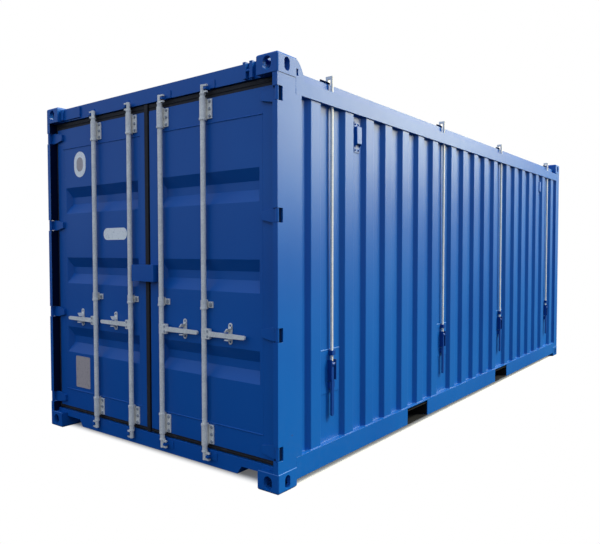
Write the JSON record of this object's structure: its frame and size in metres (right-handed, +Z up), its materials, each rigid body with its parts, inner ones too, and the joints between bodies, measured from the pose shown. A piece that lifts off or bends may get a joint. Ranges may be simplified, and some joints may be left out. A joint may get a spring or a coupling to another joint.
{
  "type": "shipping container",
  "caption": "Blue steel hard-top freight container with corrugated walls, twin rear doors, lock bars, roof-lock rods, corner castings and fork pockets.",
  "frame": {"origin": "middle of the base, on the ground plane under the bottom castings", "axes": "+Z up, +Y from the doors towards the front wall, +X towards the right wall seen from the doors"},
  "size_m": [2.438, 6.058, 2.591],
  "materials": {
    "blue_paint": "satin",
    "galvanised_steel": "galvanised",
    "gasket_rubber": "matt",
    "floor_boards": "oiled"
  },
  "bodies": {
    "root": {"bottom_side_rail_left": "blue_paint", "bottom_side_rail_right": "blue_paint", "cam_keepers": "blue_paint", "corner_castings_bottom": "blue_paint", "corner_castings_top": "blue_paint", "crossmembers": "blue_paint", "door_header": "blue_paint", "door_sill": "blue_paint", "floor": "floor_boards", "fork_pockets": "blue_paint", "front_corner_posts": "blue_paint", "front_header": "blue_paint", "front_sill": "blue_paint", "front_wall": "blue_paint", "hard_top_roof": "blue_paint", "hinge_pins": "galvanised_steel", "rear_corner_post_left": "blue_paint", "rear_corner_post_right": "blue_paint", "roof_lock_brackets": "blue_paint", "side_wall_left": "blue_paint", "side_wall_right": "blue_paint", "top_side_rail_left": "blue_paint", "top_side_rail_right": "blue_paint", "ventilators": "blue_paint"},
    "door_left": {"bar_brackets_left": "galvanised_steel", "door_frame_left": "blue_paint", "door_gasket_left": "gasket_rubber", "door_panel_left": "blue_paint", "handle_catches_left": "galvanised_steel"},
    "bar_left_outer": {"lock_bar_left_outer": "galvanised_steel", "bar_handle_left_outer": "galvanised_steel"},
    "bar_left_inner": {"lock_bar_left_inner": "galvanised_steel", "bar_handle_left_inner": "galvanised_steel"},
    "lever_left_1": {"roof_lock_lever_left_1": "blue_paint"},
    "rod_left_1": {"roof_lock_rod_left_1": "galvanised_steel"},
    "lever_left_2": {"roof_lock_lever_left_2": "blue_paint"},
    "rod_left_2": {"roof_lock_rod_left_2": "galvanised_steel"},
    "lever_left_3": {"roof_lock_lever_left_3": "blue_paint"},
    "rod_left_3": {"roof_lock_rod_left_3": "galvanised_steel"},
    "lever_left_4": {"roof_lock_lever_left_4": "blue_paint"},
    "rod_left_4": {"roof_lock_rod_left_4": "galvanised_steel"},
    "door_right": {"bar_brackets_right": "galvanised_steel", "door_frame_right": "blue_paint", "door_gasket_right": "gasket_rubber", "door_panel_right": "blue_paint", "handle_catches_right": "galvanised_steel", "lock_box": "blue_paint"},
    "bar_right_outer": {"lock_bar_right_outer": "galvanised_steel", "bar_handle_right_outer": "galvanised_steel"},
    "bar_right_inner": {"lock_bar_right_inner": "galvanised_steel", "bar_handle_right_inner": "galvanised_steel"},
    "lever_right_1": {"roof_lock_lever_right_1": "blue_paint"},
    "rod_right_1": {"roof_lock_rod_right_1": "galvanised_steel"},
    "lever_right_2": {"roof_lock_lever_right_2": "blue_paint"},
    "rod_right_2": {"roof_lock_rod_right_2": "galvanised_steel"},
    "lever_right_3": {"roof_lock_lever_right_3": "blue_paint"},
    "rod_right_3": {"roof_lock_rod_right_3": "galvanised_steel"},
    "lever_right_4": {"roof_lock_lever_right_4": "blue_paint"},
    "rod_right_4": {"roof_lock_rod_right_4": "galvanised_steel"}
  },
  "joints": [
    {"name": "door_left_swing", "type": "hinge", "parent": "root", "child": "door_left", "pos_m": [-1.203, -3.014, 1.3], "axis": [0, 0, -1], "range_deg": [0, 260]},
    {"name": "bar_left_outer_turn", "type": "hinge", "parent": "door_left", "child": "bar_left_outer", "pos_m": [-0.608, -3.005, 0.905], "axis": [0, 0, -1], "range_deg": [-105, 0]},
    {"name": "bar_left_inner_turn", "type": "hinge", "parent": "door_left", "child": "bar_left_inner", "pos_m": [-0.181, -3.005, 0.905], "axis": [0, 0, -1], "range_deg": [-105, 0]},
    {"name": "lever_left_1_swing", "type": "hinge", "parent": "root", "child": "lever_left_1", "pos_m": [-1.2, -2.441, 0.69], "axis": [0, -1, 0], "range_deg": [-150, 0]},
    {"name": "rod_left_1_lift", "type": "slide", "parent": "root", "child": "rod_left_1", "axis": [0, 0, 1], "range_m": [0, 0.0405]},
    {"name": "lever_left_2_swing", "type": "hinge", "parent": "root", "child": "lever_left_2", "pos_m": [-1.2, -0.693, 0.69], "axis": [0, -1, 0], "range_deg": [-150, 0]},
    {"name": "rod_left_2_lift", "type": "slide", "parent": "root", "child": "rod_left_2", "axis": [0, 0, 1], "range_m": [0, 0.0405]},
    {"name": "lever_left_3_swing", "type": "hinge", "parent": "root", "child": "lever_left_3", "pos_m": [-1.2, 0.783, 0.69], "axis": [0, -1, 0], "range_deg": [-150, 0]},
    {"name": "rod_left_3_lift", "type": "slide", "parent": "root", "child": "rod_left_3", "axis": [0, 0, 1], "range_m": [0, 0.0405]},
    {"name": "lever_left_4_swing", "type": "hinge", "parent": "root", "child": "lever_left_4", "pos_m": [-1.2, 2.531, 0.69], "axis": [0, -1, 0], "range_deg": [-150, 0]},
    {"name": "rod_left_4_lift", "type": "slide", "parent": "root", "child": "rod_left_4", "axis": [0, 0, 1], "range_m": [0, 0.0405]},
    {"name": "door_right_swing", "type": "hinge", "parent": "root", "child": "door_right", "pos_m": [1.203, -3.014, 1.3], "axis": [0, 0, 1], "range_deg": [0, 260]},
    {"name": "bar_right_outer_turn", "type": "hinge", "parent": "door_right", "child": "bar_right_outer", "pos_m": [0.579, -3.005, 0.905], "axis": [0, 0, 1], "range_deg": [-105, 0]},
    {"name": "bar_right_inner_turn", "type": "hinge", "parent": "door_right", "child": "bar_right_inner", "pos_m": [0.159, -3.005, 0.905], "axis": [0, 0, 1], "range_deg": [-105, 0]},
    {"name": "lever_right_1_swing", "type": "hinge", "parent": "root", "child": "lever_right_1", "pos_m": [1.2, -2.441, 0.69], "axis": [0, 1, 0], "range_deg": [-150, 0]},
    {"name": "rod_right_1_lift", "type": "slide", "parent": "root", "child": "rod_right_1", "axis": [0, 0, 1], "range_m": [0, 0.0405]},
    {"name": "lever_right_2_swing", "type": "hinge", "parent": "root", "child": "lever_right_2", "pos_m": [1.2, -0.693, 0.69], "axis": [0, 1, 0], "range_deg": [-150, 0]},
    {"name": "rod_right_2_lift", "type": "slide", "parent": "root", "child": "rod_right_2", "axis": [0, 0, 1], "range_m": [0, 0.0405]},
    {"name": "lever_right_3_swing", "type": "hinge", "parent": "root", "child": "lever_right_3", "pos_m": [1.2, 0.783, 0.69], "axis": [0, 1, 0], "range_deg": [-150, 0]},
    {"name": "rod_right_3_lift", "type": "slide", "parent": "root", "child": "rod_right_3", "axis": [0, 0, 1], "range_m": [0, 0.0405]},
    {"name": "lever_right_4_swing", "type": "hinge", "parent": "root", "child": "lever_right_4", "pos_m": [1.2, 2.531, 0.69], "axis": [0, 1, 0], "range_deg": [-150, 0]},
    {"name": "rod_right_4_lift", "type": "slide", "parent": "root", "child": "rod_right_4", "axis": [0, 0, 1], "range_m": [0, 0.0405]}
  ],
  "couplings": [
    {"joint": "rod_left_1_lift", "follows": "lever_left_1_swing", "m_per_rad": -0.015279},
    {"joint": "rod_left_2_lift", "follows": "lever_left_2_swing", "m_per_rad": -0.015279},
    {"joint": "rod_left_3_lift", "follows": "lever_left_3_swing", "m_per_rad": -0.015279},
    {"joint": "rod_left_4_lift", "follows": "lever_left_4_swing", "m_per_rad": -0.015279},
    {"joint": "rod_right_1_lift", "follows": "lever_right_1_swing", "m_per_rad": -0.015279},
    {"joint": "rod_right_2_lift", "follows": "lever_right_2_swing", "m_per_rad": -0.015279},
    {"joint": "rod_right_3_lift", "follows": "lever_right_3_swing", "m_per_rad": -0.015279},
    {"joint": "rod_right_4_lift", "follows": "lever_right_4_swing", "m_per_rad": -0.015279}
  ]
}
